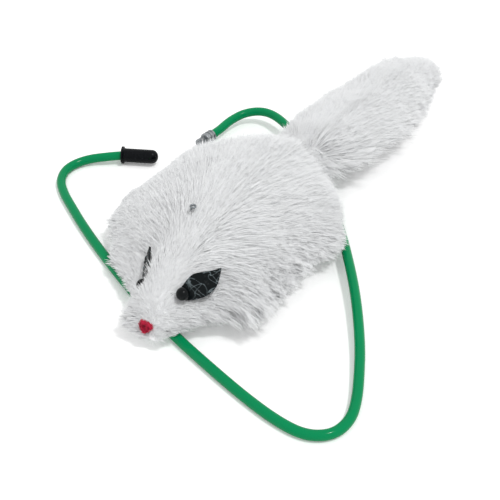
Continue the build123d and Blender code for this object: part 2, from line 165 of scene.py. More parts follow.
def coordinates(mesh):
    """The places and normals of a mesh's vertices, as arrays."""
    places = np.empty(len(mesh.vertices) * 3)
    mesh.vertices.foreach_get("co", places)
    normals = np.empty(len(mesh.vertices) * 3)
    mesh.vertices.foreach_get("normal", normals)
    return places.reshape(-1, 3), normals.reshape(-1, 3)


def unit(vectors):
    """The vectors at length one."""
    return vectors / np.maximum(np.linalg.norm(vectors, axis=-1, keepdims=True), 1e-9)


def ramp(value, low, high):
    """How far a value has come from low to high, held between 0 and 1."""
    return np.clip((value - low) / (high - low), 0, 1)


def smooth_shaded(mesh):
    for polygon in mesh.polygons:
        polygon.use_smooth = True
    mesh.update()


# ---------------------------------------------------------------- sizes and colours
class CordSettings(bpy.types.PropertyGroup):
    diameter: bpy.props.FloatProperty(
        name="Diameter", description="Thickness of the round cord", default=4 * MM, unit="LENGTH"
    )
    colour: bpy.props.FloatVectorProperty(
        name="Colour",
        description="Green of the soft cord",
        size=3,
        subtype="COLOR",
        default=linear("#008a54"),
    )


class FurSettings(bpy.types.PropertyGroup):
    colour: bpy.props.FloatVectorProperty(
        name="Colour",
        description="White of the fur",
        size=3,
        subtype="COLOR",
        default=linear("#fdfefe"),
    )
    shade: bpy.props.FloatVectorProperty(
        name="Shade",
        description="The darker hairs",
        size=3,
        subtype="COLOR",
        default=linear("#f6f7f9"),
    )
    body_strands: bpy.props.IntProperty(
        name="Body strands", description="How many strands the body has", default=76000
    )
    head_strands: bpy.props.IntProperty(
        name="Head strands", description="How many strands the head has", default=30000
    )
    tail_strands: bpy.props.IntProperty(
        name="Tail strands", description="How many strands the tail has", default=50000
    )
    strand_width: bpy.props.FloatProperty(
        name="Strand width",
        description="Width of a strand at its thickest",
        default=0.25 * MM,
        unit="LENGTH",
    )


class EarSettings(bpy.types.PropertyGroup):
    colour: bpy.props.FloatVectorProperty(
        name="Colour",
        description="Dye of the ear leather",
        size=3,
        subtype="COLOR",
        default=linear("#060c0e"),
    )
    curl: bpy.props.FloatProperty(
        name="Curl", description="How far the edges stand up", default=0.9 * MM, unit="LENGTH"
    )


class NoseSettings(bpy.types.PropertyGroup):
    colour: bpy.props.FloatVectorProperty(
        name="Colour",
        description="Dye of the nose felt",
        size=3,
        subtype="COLOR",
        default=linear("#d42b4c"),
    )
    fuzz: bpy.props.FloatProperty(
        name="Fuzz", description="Length of the loose felt fibres", default=0.9 * MM, unit="LENGTH"
    )


class StageSettings(bpy.types.PropertyGroup):
    sun: bpy.props.FloatProperty(name="Sun", description="Strength of the lamp", default=1.15)
    sky: bpy.props.FloatProperty(name="Sky", description="Strength of the white surround", default=0.85)
    lens: bpy.props.FloatProperty(name="Lens", description="Lens of the camera in mm", default=78.0)


# ---------------------------------------------------------------- materials
def coat_normal(material):
    """The normal of the skin, which each strand carries, on both faces of the ribbon.

    Fine hair then shades as one coat.
    """
    surface = add_node(material, "ShaderNodeNewGeometry")
    turned = add_node(
        material,
        "ShaderNodeMath",
        {0: surface.outputs["Backfacing"], 1: -2.0, 2: 1.0},
        operation="MULTIPLY_ADD",
    )
    return add_node(
        material,
        "ShaderNodeVectorMath",
        {0: surface.outputs["Normal"], "Scale": turned.outputs[0]},
        operation="SCALE",
    )


def rabbit_fur_material(settings):
    """Rabbit fur, tanned with its hair on and combed: matt white, with some strands cooler."""
    material = new_material("rabbit_fur")
    strand = add_node(material, "ShaderNodeAttribute", attribute_name="shade")
    colour = add_node(
        material,
        "ShaderNodeMix",
        {0: strand.outputs["Fac"], 6: settings.colour, 7: settings.shade},
        data_type="RGBA",
    )
    normal = coat_normal(material)
    shader = add_node(
        material,
        "ShaderNodeBsdfPrincipled",
        {
            "Base Color": colour.outputs[2],
            "Roughness": 0.8,
            "Specular IOR Level": 0.1,
            "Normal": normal.outputs[0],
        },
    )
    through = add_node(material, "ShaderNodeBsdfTranslucent", {"Color": colour.outputs[2]})
    strand_shader = add_node(
        material, "ShaderNodeMixShader", {0: 0.3, 1: shader.outputs[0], 2: through.outputs[0]}
    )
    surface_output(material, strand_shader)
    return material


def rabbit_underfur_material(settings):
    """The dense wool under the hair: matt, with a fine clumped grain about as wide as a lock of wool."""
    material = new_material("rabbit_underfur")
    place = add_node(material, "ShaderNodeTexCoord")
    grain = add_node(
        material,
        "ShaderNodeTexNoise",
        {"Vector": place.outputs["Object"], "Scale": 1 / (1.6 * MM), "Detail": 4.0},
    )
    colour = add_node(
        material,
        "ShaderNodeMix",
        {0: grain.outputs["Fac"], 6: settings.shade, 7: settings.colour},
        data_type="RGBA",
    )
    bump = add_node(
        material,
        "ShaderNodeBump",
        {"Height": grain.outputs["Fac"], "Strength": 0.2, "Distance": 0.3 * MM},
    )
    shader = add_node(
        material,
        "ShaderNodeBsdfPrincipled",
        {
            "Base Color": colour.outputs[2],
            "Roughness": 0.9,
            "Specular IOR Level": 0.1,
            "Normal": bump.outputs[0],
        },
    )
    surface_output(material, shader)
    return material


def soft_vinyl_material(settings):
    """Plasticised vinyl cord, extruded: clear saturated green right through, with a wet gloss."""
    material = new_material("extruded_soft_vinyl")
    place = add_node(material, "ShaderNodeTexCoord")
    drift = add_node(
        material,
        "ShaderNodeTexNoise",
        {"Vector": place.outputs["Object"], "Scale": 1 / (30 * MM), "Detail": 2.0},
    )
    deep = tuple(c * 0.82 for c in settings.colour)
    colour = add_node(
        material,
        "ShaderNodeMix",
        {0: drift.outputs["Fac"], 6: deep, 7: settings.colour},
        data_type="RGBA",
    )
    ripple = add_node(
        material,
        "ShaderNodeTexNoise",
        {"Vector": place.outputs["Object"], "Scale": 1 / (5 * MM), "Detail": 1.0},
    )
    bump = add_node(
        material,
        "ShaderNodeBump",
        {"Height": ripple.outputs["Fac"], "Strength": 0.15, "Distance": 0.2 * MM},
    )
    shader = add_node(
        material,
        "ShaderNodeBsdfPrincipled",
        {
            "Base Color": colour.outputs[2],
            "Roughness": 0.14,
            "Specular IOR Level": 0.1,
            "Normal": bump.outputs[0],
        },
    )
    surface_output(material, shader)
    return material


def dipped_vinyl_material():
    """Dipped vinyl cap, near black and glossy, with fine dust and scuffs that dull it in places."""
    material = new_material("dipped_black_vinyl")
    place = add_node(material, "ShaderNodeTexCoord")
    scuff = add_node(
        material,
        "ShaderNodeTexNoise",
        {"Vector": place.outputs["Object"], "Scale": 1 / (1.2 * MM), "Detail": 6.0},
    )
    rough = add_node(
        material,
        "ShaderNodeMapRange",
        {"Value": scuff.outputs["Fac"], "From Min": 0.35, "From Max": 0.75, "To Min": 0.18, "To Max": 0.42},
    )
    colour = add_node(
        material,
        "ShaderNodeMix",
        {0: scuff.outputs["Fac"], 6: linear("#040609"), 7: linear("#0b0e12")},
        data_type="RGBA",
    )
    bump = add_node(
        material,
        "ShaderNodeBump",
        {"Height": scuff.outputs["Fac"], "Strength": 0.2, "Distance": 0.1 * MM},
    )
    shader = add_node(
        material,
        "ShaderNodeBsdfPrincipled",
        {
            "Base Color": colour.outputs[2],
            "Roughness": rough.outputs[0],
            "Specular IOR Level": 0.1,
            "Normal": bump.outputs[0],
        },
    )
    surface_output(material, shader)
    return material


def bent_steel_material(name, hex_colour):
    """Bright steel wire or strip, drawn and bent: metallic grey with fine draw marks and dull patches."""
    material = new_material(name)
    place = add_node(material, "ShaderNodeTexCoord")
    marks = add_node(
        material,
        "ShaderNodeTexNoise",
        {"Vector": place.outputs["Object"], "Scale": 1 / (0.6 * MM), "Detail": 5.0},
    )
    rough = add_node(
        material,
        "ShaderNodeMapRange",
        {"Value": marks.outputs["Fac"], "From Min": 0.3, "From Max": 0.7, "To Min": 0.22, "To Max": 0.5},
    )
    colour = add_node(
        material,
        "ShaderNodeMix",
        {0: marks.outputs["Fac"], 6: tuple(c * 0.6 for c in linear(hex_colour)), 7: linear(hex_colour)},
        data_type="RGBA",
    )
    shader = add_node(
        material,
        "ShaderNodeBsdfPrincipled",
        {"Base Color": colour.outputs[2], "Roughness": rough.outputs[0], "Metallic": 1.0},
    )
    surface_output(material, shader)
    return material


def bead_glass_material():
    """Pressed black glass bead, fire polished: black with one sharp highlight."""
    material = new_material("black_bead_glass")
    place = add_node(material, "ShaderNodeTexCoord")
    pits = add_node(
        material,
        "ShaderNodeTexNoise",
        {"Vector": place.outputs["Object"], "Scale": 1 / (0.5 * MM), "Detail": 3.0},
    )
    rough = add_node(
        material,
        "ShaderNodeMapRange",
        {"Value": pits.outputs["Fac"], "From Min": 0.4, "From Max": 0.8, "To Min": 0.14, "To Max": 0.2},
    )
    shader = add_node(
        material,
        "ShaderNodeBsdfPrincipled",
        {"Base Color": linear("#04080a"), "Roughness": rough.outputs[0], "Specular IOR Level": 0.15},
    )
    surface_output(material, shader)
    return material


def dyed_leather_material(settings):
    """Thin dyed leather, crumpled by hand: green black, with pale lines on the sharp creases that are partly
    worn dye and partly a painted highlight of the crinkles.
    """
    material = new_material("dyed_ear_leather")
    place = add_node(material, "ShaderNodeTexCoord")
    crease_highlight_and_wear = add_node(material, "ShaderNodeAttribute", attribute_name="crease_highlight_and_wear")
    patches = add_node(
        material,
        "ShaderNodeTexNoise",
        {"Vector": place.outputs["Object"], "Scale": 1 / (0.9 * MM), "Detail": 4.0},
    )
    patchy_crease_highlight = add_node(
        material,
        "ShaderNodeMath",
        {0: crease_highlight_and_wear.outputs["Fac"], 1: patches.outputs["Fac"]},
        operation="MULTIPLY",
    )
    # The pale #8f9da1 on the creases is partly worn dye and partly a painted highlight of the crinkles.
    colour = add_node(
        material,
        "ShaderNodeMix",
        {0: patchy_crease_highlight.outputs[0], 6: settings.colour, 7: linear("#8f9da1")},
        data_type="RGBA",
    )
    bump = add_node(
        material,
        "ShaderNodeBump",
        {"Height": patches.outputs["Fac"], "Strength": 0.5, "Distance": 0.2 * MM},
    )
    shader = add_node(
        material,
        "ShaderNodeBsdfPrincipled",
        {
            "Base Color": colour.outputs[2],
            "Roughness": 0.34,
            "Specular IOR Level": 0.12,
            "Normal": bump.outputs[0],
        },
    )
    surface_output(material, shader)
    return material


def napped_material(name, first, second, fibre):
    """Pressed wool felt or split hide: matt, with a mottled nap of short crossed fibres."""
    material = new_material(name)
    place = add_node(material, "ShaderNodeTexCoord")
    nap = add_node(
        material,
        "ShaderNodeTexNoise",
        {"Vector": place.outputs["Object"], "Scale": 1 / fibre, "Detail": 6.0, "Distortion": 1.2},
    )
    colour = add_node(
        material,
        "ShaderNodeMix",
        {0: nap.outputs["Fac"], 6: first, 7: second},
        data_type="RGBA",
    )
    bump = add_node(
        material,
        "ShaderNodeBump",
        {"Height": nap.outputs["Fac"], "Strength": 0.6, "Distance": 0.2 * MM},
    )
    shader = add_node(
        material,
        "ShaderNodeBsdfPrincipled",
        {
            "Base Color": colour.outputs[2],
            "Roughness": 0.92,
            "Specular IOR Level": 0.15,
            "Sheen Weight": 0.2,
            "Normal": bump.outputs[0],
        },
    )
    surface_output(material, shader)
    return material


def moulded_plastic_material():
    """Polypropylene, injection moulded: milky white, faintly grained by the tool."""
    material = new_material("moulded_polypropylene")
    place = add_node(material, "ShaderNodeTexCoord")
    grain = add_node(
        material,
        "ShaderNodeTexNoise",
        {"Vector": place.outputs["Object"], "Scale": 1 / (0.8 * MM), "Detail": 3.0},
    )
    colour = add_node(
        material,
        "ShaderNodeMix",
        {0: grain.outputs["Fac"], 6: linear("#d9dbd8"), 7: linear("#e6e8e6")},
        data_type="RGBA",
    )
    bump = add_node(
        material,
        "ShaderNodeBump",
        {"Height": grain.outputs["Fac"], "Strength": 0.1, "Distance": 0.1 * MM},
    )
    shader = add_node(
        material,
        "ShaderNodeBsdfPrincipled",
        {"Base Color": colour.outputs[2], "Roughness": 0.42, "IOR": 1.49, "Normal": bump.outputs[0]},
    )
    surface_output(material, shader)
    return material


# ---------------------------------------------------------------- the coat's lie
# Where the hair is combed: x from the mouse's middle, y from the snout's tip, both in mm, then the way
# it points (x to its left, y to its tail) and how far it reaches past the skin that it grows through, in mm.
BODY_COMB = [
    (0, 30, 0.05, 1.0, 6.5),
    (0, 45, 0.0, 1.0, 8.5),
    (0, 65, 0.1, 1.0, 8.5),
    (0, 85, 0.1, 1.0, 9.5),
    (-2, 100, 0.1, 1.0, 10),
    (6, 100, 0.3, 1.0, 11),
    (-6, 112, 0.0, 1.0, 7.5),
    (8, 112, 0.25, 1.0, 10.5),
    (-14, 32, -0.8, 0.3, 7.5),
    (-18, 45, -0.7, 0.7, 8.5),
    (-18, 65, -0.5, 0.9, 8.5),
    (-18, 88, -0.5, 0.9, 8.5),
    (-28, 34, -0.95, -0.15, 2.2),
    (-38, 38, -1.0, -0.15, 1.2),
    (-46, 43, -1.0, -0.2, 1.5),
    (-50, 58, -1.0, -0.1, -0.8),
    (-51, 75, -1.0, 0.1, -1.2),
    (-48, 85, -0.85, 0.45, 0),
    (-46, 99, -0.6, 0.8, 9.5),
    (-38, 104, -0.6, 0.85, 12),
    (-28, 107, -0.35, 0.95, 9),
    (-16, 110, -0.25, 1.0, 5),
    (14, 30, 1.0, 0.05, 7.5),
    (25, 27, 0.85, -0.5, 9.5),
    (16, 45, 0.85, 0.5, 8.5),
    (16, 65, 0.6, 0.8, 8.5),
    (18, 90, 0.6, 0.8, 9.5),
    (29, 40, 1.0, -0.12, 2.2),
    (35, 52, 1.0, 0.0, 1.8),
    (37, 64, 1.0, 0.08, 1),
    (38, 76, 0.98, 0.2, 3),
    (38, 89, 0.9, 0.4, 2),
    (32, 101, 0.75, 0.65, 2.5),
    (24, 107, 0.5, 0.85, 7.5),
    (14, 112, 0.35, 0.95, 10),
]
HEAD_COMB = [
    (0, 1, -0.3, -0.3, 2.6),
    (-7, 3, -0.8, -0.2, 3.6),
    (7, 4, 0.6, 0.8, 1.0),
    (0, 8, 0.0, 1.0, 1.4),
    (0, 18, 0.0, 1.0, 2.6),
    (0, 27, 0.0, 1.0, 4.5),
    (-8, 9, -0.8, 0.4, 1.8),
    (-14, 14, -0.85, 0.3, 0.8),
    (-20, 18, -0.9, 0.1, 1.8),
    (-26, 21, -0.95, 0.25, 4.2),
    (-31, 26, -0.95, 0.2, 2.4),
    (-24, 27, -0.9, 0.3, 1.6),
    (-14, 26, -0.8, 0.5, 3.4),
    (12, 12, 0.8, 0.6, 2.0),
    (20, 16, 0.97, 0.2, 3.0),
    (26, 20, 1.0, 0.05, 5.0),
    (14, 26, 0.95, 0.4, 5),
]
TAIL_COMB = [
    (0, 118, 0.0, 1.0, 10),
    (-12, 124, -0.5, 1.0, 4),
    (12, 120, 0.7, 0.8, 8.5),
    (4, 150, 0.0, 1.0, 9),
    (-10, 150, -0.6, 0.9, 3),
    (18, 150, 0.8, 0.8, 7),
    (6, 185, 0.0, 1.0, 9),
    (-6, 185, -0.6, 0.9, 2.6),
    (20, 185, 0.75, 0.8, 4.5),
    (10, 215, -0.1, 1.0, 4),
    (0, 212, -0.5, 0.95, 9),
    (22, 205, 0.65, 0.9, 1),
]


# Where one stretch of the coat passes into the next, in mm behind the snout's tip.
SNOUT_END = 22
HEAD_END = 27
SHOULDER_END = 54
RUMP_START = 78
# A skin whose normal points down further than this belongs to the underside.
UNDERSIDE = -0.35
# How much of the full number of strands an underside gets.
BELLY_SHARE = 0.15
TAIL_BELLY_SHARE = 0.2
# The hair below this height is drawn into points.
COAT_RIM = 9 * MM
STRAND_STEPS = 5
STRANDS_PER_TUFT = 25
# A few wild hairs are longer than their neighbours.
WILD_SHARE = 0.03
WILD_LENGTH = 1.3
WOOL_VOXEL = 1.2 * MM
TAIL_COAT_DEPTH = 2.6 * MM
# The woolly brow over the far eye: its middle and its half width across, in mm.
BROW_ACROSS = -4.8
BROW_WIDTH = 2.6


def combed(comb, places):
    """The hair's direction and length at each place, blended from the comb table."""
    table = np.array(comb, dtype=float)
    flat = places[:, :2] / MM - np.array([MIDDLE_X / MM, SNOUT_Y / MM])
    gap = ((flat[:, None, :] - table[None, :, :2]) ** 2).sum(axis=2)
    weight = 1 / (gap + 12.0) ** 1.6
    weight /= weight.sum(axis=1, keepdims=True)
    way = np.zeros((len(places), 3))
    way[:, :2] = weight @ table[:, 2:4]
    return unit(way), weight @ table[:, 4] * MM


def even_roots(mesh, count, rng, share_below):
    """Places spread evenly over a skin, with its normals. The underside gets only a share."""
    places, normals = coordinates(mesh)
    mesh.calc_loop_triangles()
    corners = np.empty(len(mesh.loop_triangles) * 3, dtype=int)
    mesh.loop_triangles.foreach_get("vertices", corners)
    corners = corners.reshape(-1, 3)
    a, b, c = places[corners[:, 0]], places[corners[:, 1]], places[corners[:, 2]]
    cross = np.cross(b - a, c - a)
    facing = unit(cross)[:, 2]
    area = np.linalg.norm(cross, axis=1) * np.where(facing < -0.5, share_below, 1.0)
    chosen = rng.choice(len(area), size=count, p=area / area.sum())
    u, v = rng.random(count), rng.random(count)
    over = u + v > 1
    u[over], v[over] = 1 - u[over], 1 - v[over]
    mix = np.stack([1 - u - v, u, v], axis=1)[:, :, None]
    roots = (places[corners[chosen]] * mix).sum(axis=1)
    root_normals = unit((normals[corners[chosen]] * mix).sum(axis=1))
    return roots, root_normals


def grown(
    roots,
    normals,
    comb,
    depth,
    rng,
    lift=0.42,
    lie=0.12,
    droop=0.1,
    tuft=2.6,
    pull=(0.07, 0.8),
    rim=0.0,
    ragged=1.0,
):
    """The points of each strand: lifted at its root, lying along the comb, drawn into tufts."""
    count, steps = len(roots), STRAND_STEPS
    way, reach = combed(comb, roots)
    inwards = np.minimum((way * normals).sum(axis=1, keepdims=True), 0)
    way = unit(way - inwards * normals)
    way = unit(way + rng.normal(0, 0.09, (count, 3)))
    # An underside's hair is short and pressed flat.
    below = np.clip(-normals[:, 2] * 1.6, 0, 1)
    length = (reach + depth) * (0.85 + 0.25 * rng.random(count)) * (1 - 0.55 * below)
    wild = rng.random(count) < WILD_SHARE
    length[wild] *= WILD_LENGTH
    # A tuft's strands share its length and lean to its leader, most where the coat ends in points.
    picked = rng.choice(count, size=max(1, count // STRANDS_PER_TUFT), replace=False)
    tree = kdtree.KDTree(len(picked))
    for index, leader in enumerate(picked):
        tree.insert(roots[leader], index)
    tree.balance()
    tufts = np.array([tree.find(root)[1] for root in roots])
    leaders = picked[tufts]
    side = np.clip((0.85 - normals[:, 2]) / 0.45, 0, 1)
    side_on = 0.4 * side + 0.6 * np.clip((rim - roots[:, 2]) / (3 * MM), 0, 1)
    # Here and there a tuft on the slopes is much longer than the rest, and stands off.
    ends = ragged * side * (0.75 * rng.random(len(picked)) ** 4 - 0.14)[tufts]
    length *= 1 + ends + 0.06 * rng.uniform(-1, 1, len(picked))[tufts]
    lift = np.broadcast_to(lift, count)[:, None]
    lie = np.broadcast_to(lie, count)[:, None] + 0.2 * np.maximum(ends, 0)[:, None]
    hang = np.broadcast_to(droop, count)[:, None] + 0.3 * np.clip((0.6 - normals[:, 2:3]) / 0.5, 0, 1)
    start = unit(lift * normals + 0.6 * way)
    end = unit(lie * normals + way - hang * np.array([0, 0, 1.0]))
    bow = rng.normal(0, 0.08, (count, 3))
    points = np.empty((count, steps, 3))
    points[:, 0] = roots
    for step in range(1, steps):
        along = (step - 0.5) / (steps - 1)
        heading = unit((1 - along) * start + along * end + bow * math.sin(math.pi * along))
        points[:, step] = points[:, step - 1] + heading * (length / (steps - 1))[:, None]
    gap = np.linalg.norm(roots - roots[leaders], axis=1)
    hold = (pull[0] + (pull[1] - pull[0]) * side_on) * np.clip(1.4 - gap / (tuft * MM), 0.2, 1.0)
    hold = hold * (0.7 + 0.3 * rng.random(count))
    for step in range(1, steps):
        share = (hold * ((step / (steps - 1)) ** 1.7))[:, None]
        points[:, step] += share * (points[leaders, step] - points[:, step])
    return points


def ribbons(name, points, normals, width, rng, floor=0.25 * MM):
    """A mesh of tapered ribbons along the strands, each with its own cell of the map and its own shade."""
    count, steps = points.shape[:2]
    points = points.copy()
    points[:, :, 2] = np.maximum(points[:, :, 2], floor + 0.15 * MM * rng.random((count, 1)))
    heading = np.gradient(points, axis=1)
    across = unit(np.cross(heading, normals[:, None, :]))
    turn = rng.normal(0, 0.3, (count, 1, 1))
    upright = unit(np.cross(across, heading))
    across = unit(across * np.cos(turn) + upright * np.sin(turn))
    taper = np.array([0.7, 1.0, 0.85, 0.55])
    half = across[:, : steps - 1] * (taper * width / 2)[None, :, None]
    half *= (0.75 + 0.5 * rng.random((count, 1, 1)))
    left = points[:, : steps - 1] - half
    right = points[:, : steps - 1] + half
    per = 2 * (steps - 1) + 1
    verts = np.empty((count, per, 3))
    verts[:, 0 : per - 1 : 2] = left
    verts[:, 1 : per - 1 : 2] = right
    verts[:, per - 1] = points[:, steps - 1]
    quads = np.array([[2 * k, 2 * k + 1, 2 * k + 3, 2 * k + 2] for k in range(steps - 2)])
    tip = np.array([2 * (steps - 2), 2 * (steps - 2) + 1, per - 1])
    strand_loops = np.concatenate([quads.ravel(), tip])
    loops = (np.arange(count)[:, None] * per + strand_loops[None, :]).ravel()
    sizes = np.tile([4] * (steps - 2) + [3], count)
    mesh = bpy.data.meshes.new(name)
    mesh.vertices.add(count * per)
    mesh.vertices.foreach_set("co", verts.ravel())
    mesh.loops.add(len(loops))
    mesh.loops.foreach_set("vertex_index", loops.astype(np.int32))
    mesh.polygons.add(len(sizes))
    mesh.polygons.foreach_set("loop_start", np.concatenate([[0], np.cumsum(sizes)[:-1]]).astype(np.int32))
    mesh.polygons.foreach_set("loop_total", sizes.astype(np.int32))
    mesh.update(calc_edges=True)
    # Each strand's cell on the map: u across the ribbon, v along it.
    side = math.ceil(math.sqrt(count))
    cell = np.stack([np.arange(count) % side, np.arange(count) // side], axis=1) / side
    along = np.linspace(0.08, 0.92, steps)
    corner = np.empty((per, 2))
    corner[0 : per - 1 : 2, 0], corner[1 : per - 1 : 2, 0] = 0.1, 0.9
    corner[0 : per - 1 : 2, 1] = corner[1 : per - 1 : 2, 1] = along[: steps - 1]
    corner[per - 1] = (0.5, along[-1])
    flat = cell[:, None, :] + corner[strand_loops][None, :, :] / side
    layer = mesh.uv_layers.new(name="OFBake")
    layer.uv.foreach_set("vector", flat.astype(np.float32).ravel())
    shade = mesh.attributes.new("shade", "FLOAT", "POINT")
    tone = np.clip(rng.normal(0.35, 0.25, count), 0, 1)
    shade.data.foreach_set("value", np.repeat(tone, per).astype(np.float32))
    # The coat takes the light as its skin does, with the ends turned up to it.
    upward = 2.0 * np.clip((normals[:, 2:3] + 0.4) / 0.4, 0, 1) * np.array([0, 0, 1.0])
    coat = unit(normals + upward + rng.normal(0, 0.07, (count, 3)))
    mesh.normals_split_custom_set_from_vertices(np.repeat(coat, per, axis=0))
    return mesh


def coat_depth(y):
    """How deep the hair stands over the skin: short on the snout, full from behind the ears."""
    return (0.7 + 2.0 * ramp((y - SNOUT_Y) / MM, 19, 35)) * MM


def brow_of(place):
    """How much a place belongs to the woolly brow between the snout's ridge and the far eye."""
    across = (place[0] - MIDDLE_X) / MM
    from_snout = (place[1] - SNOUT_Y) / MM
    window = ramp(from_snout, 4, 9) * ramp(-from_snout, -HEAD_END, 6 - HEAD_END)
    return math.exp(-(((across - BROW_ACROSS) / BROW_WIDTH) ** 2)) * window


def sunk_skin(mesh, depth_at):
    """Moves a skin inwards by depth_at(place, normal), never by more than a third of what is there."""
    tree = BVHTree.FromPolygons([v.co for v in mesh.vertices], [p.vertices for p in mesh.polygons])
    moves = []
    for vert in mesh.vertices:
        depth = depth_at(vert.co, vert.normal)
        _, _, _, thickness = tree.ray_cast(vert.co - vert.normal * 0.01 * MM, -vert.normal, 50 * MM)
        if thickness is not None:
            depth = min(depth, 0.33 * thickness)
        moves.append(-vert.normal * depth)
    for vert, move in zip(mesh.vertices, moves):
        vert.co += move
    build = bmesh.new()
    build.from_mesh(mesh)
    for _ in range(3):
        bmesh.ops.smooth_vert(
            build, verts=build.verts, factor=0.5, use_axis_x=True, use_axis_y=True, use_axis_z=True
        )
    build.to_mesh(mesh)
    build.free()
    smooth_shaded(mesh)


# ---------------------------------------------------------------- pieces
CORD_ROUTE = [
    (-43.0, 11.3, 4.0),
    (-41.5, 18.5, 4.0),
    (-41.1, 27.8, 4.5),
    (-37.4, 36.5, 5.5),
    (-29.3, 40.8, 6.5),
    (-18.6, 37.4, 7.0),
    (-5.5, 28.4, 6.5),
    (8.6, 16.0, 5.0),
    (22.6, 1.6, 3.6),
    (36.6, -14.8, 5.0),
    (50.1, -33.4, 5.8),
    (63.5, -53.2, 5.2),
    (75.7, -74.8, 4.0),
    (82.0, -88.8, 3.0),
    (85.9, -98.6, 2.3),
    (88.0, -107.9, 2.0),
    (85.6, -116.7, 2.0),
    (77.8, -121.5, 2.0),
    (66.8, -120.8, 2.0),
    (52.6, -117.2, 2.0),
    (34.3, -111.1, 2.0),
    (11.9, -102.9, 2.0),
    (-12.1, -92.1, 2.0),
    (-35.9, -79.3, 2.0),
    (-54.5, -68.3, 2.0),
    (-66.9, -60.0, 2.0),
    (-76.7, -53.3, 2.0),
    (-83.7, -46.4, 2.0),
    (-86.5, -37.5, 2.0),
    (-82.3, -28.9, 2.6),
    (-74.2, -23.5, 3.6),
    (-67.5, -18.8, 3.9),
    (-61.0, -15.9, 3.9),
]


class MOUSE_OT_stage(bpy.types.Operator):
    """Sets up the pale floor, the lamp, the white surround and the camera"""

    bl_idname = "fur_mouse.stage"
    bl_label = "Stage"

    def execute(self, context):
        settings = context.scene.fur_mouse_stage
        scene = context.scene
        scene.view_settings.view_transform = "Standard"
        world = bpy.data.worlds.new("white_surround")
        world.use_nodes = True
        world.node_tree.nodes.clear()
        white = (1, 1, 1)
        light = add_node(world, "ShaderNodeBackground", {"Color": white, "Strength": settings.sky})
        shown = add_node(world, "ShaderNodeBackground", {"Color": white, "Strength": 1.0})
        path = add_node(world, "ShaderNodeLightPath")
        seen = add_node(
            world,
            "ShaderNodeMath",
            {0: path.outputs["Is Camera Ray"], 1: path.outputs["Is Glossy Ray"]},
            operation="MAXIMUM",
        )
        surround = add_node(
            world, "ShaderNodeMixShader", {0: seen.outputs[0], 1: light.outputs[0], 2: shown.outputs[0]}
        )
        add_node(world, "ShaderNodeOutputWorld", {"Surface": surround.outputs[0]})
        scene.world = world

        # Matt white paper sweep: it takes the shadow and is lifted to pure white where it is lit.
        paper = new_material("matt_white_paper")
        matt = add_node(paper, "ShaderNodeBsdfDiffuse", {"Color": linear("#fcfcfc")})
        glow = add_node(paper, "ShaderNodeEmission", {"Color": white, "Strength": 0.12})
        both = add_node(paper, "ShaderNodeAddShader", {0: matt.outputs[0], 1: glow.outputs[0]})
        eye = add_node(paper, "ShaderNodeLightPath")
        shown = add_node(
            paper,
            "ShaderNodeMixShader",
            {0: eye.outputs["Is Camera Ray"], 1: matt.outputs[0], 2: both.outputs[0]},
        )
        surface_output(paper, shown)
        mesh = bpy.data.meshes.new("paper_floor")
        reach = 3.0
        corners = [(-reach, -reach, 0), (reach, -reach, 0), (reach, reach, 0), (-reach, reach, 0)]
        mesh.from_pydata(corners, [], [(0, 1, 2, 3)])
        mesh.materials.append(paper)
        floor = bpy.data.objects.new("paper_floor", mesh)
        scene.collection.objects.link(floor)

        lamp = bpy.data.lights.new("studio_lamp", "SUN")
        lamp.energy = settings.sun
        lamp.angle = math.radians(6)
        lamp_object = bpy.data.objects.new("studio_lamp", lamp)
        lamp_from = Vector((0.42, 0.02, 1.0))
        lamp_object.rotation_euler = lamp_from.to_track_quat("Z", "Y").to_euler()
        scene.collection.objects.link(lamp_object)

        camera = bpy.data.cameras.new("camera")
        camera.lens = settings.lens
        camera.sensor_width = 36
        camera_object = bpy.data.objects.new("camera", camera)
        place = Vector((0.1813, -0.3383, 0.2848))
        target = Vector((0.01166, -0.04445, 0.0))
        camera_object.location = place
        camera_object.rotation_euler = (place - target).to_track_quat("Z", "Y").to_euler()
        scene.collection.objects.link(camera_object)
        scene.camera = camera_object
        return {"FINISHED"}


class MOUSE_OT_cord(bpy.types.Operator):
    """Lays the soft green cord and finishes its cap"""

    bl_idname = "fur_mouse.cord"
    bl_label = "Playing cord"

    def execute(self, context):
        settings = context.scene.fur_mouse_cord
        curve = bpy.data.curves.new("playing_cord", "CURVE")
        curve.dimensions = "3D"
        curve.bevel_depth = settings.diameter / 2
        curve.bevel_resolution = 8
        curve.resolution_u = 10
        curve.use_fill_caps = True
        spline = curve.splines.new("NURBS")
        spline.points.add(len(CORD_ROUTE) - 1)
        for point, (x, y, z) in zip(spline.points, CORD_ROUTE):
            point.co = (x * MM, y * MM, z * MM, 1)
        spline.order_u = 3
        spline.use_endpoint_u = True
        cord = bpy.data.objects.new("playing_cord", curve)
        context.scene.collection.objects.link(cord)
        curve.materials.append(soft_vinyl_material(settings))
        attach(cord, "mouse")
        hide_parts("cord")
        dress_node("end_cap", dipped_vinyl_material())
        return {"FINISHED"}


class MOUSE_OT_fittings(bpy.types.Operator):
    """Finishes the wire, the link, the ferrule, the capsule and the other hidden parts"""

    bl_idname = "fur_mouse.fittings"
    bl_label = "Wire and capsule"

    def execute(self, context):
        wire = bent_steel_material("drawn_steel_wire", "#8d9296")
        strip = bent_steel_material("pressed_steel_strip", "#a5a9ac")
        for node in ("anchor_wire", "link_ring", "left_eye_pin", "right_eye_pin"):
            dress_node(node, wire)
        for node in ("ferrule", "tail_tack", "rattle_balls"):
            dress_node(node, strip)
        plastic = moulded_plastic_material()
        for node in ("shell_base", "shell_top", "rattle_tube"):
            dress_node(node, plastic)
        suede = napped_material("split_rabbit_hide", linear("#dcd8cf"), linear("#e9e6df"), 0.7 * MM)
        for node in ("belly_patch", "tail_strip", "tail_tab"):
            dress_node(node, suede)
        return {"FINISHED"}


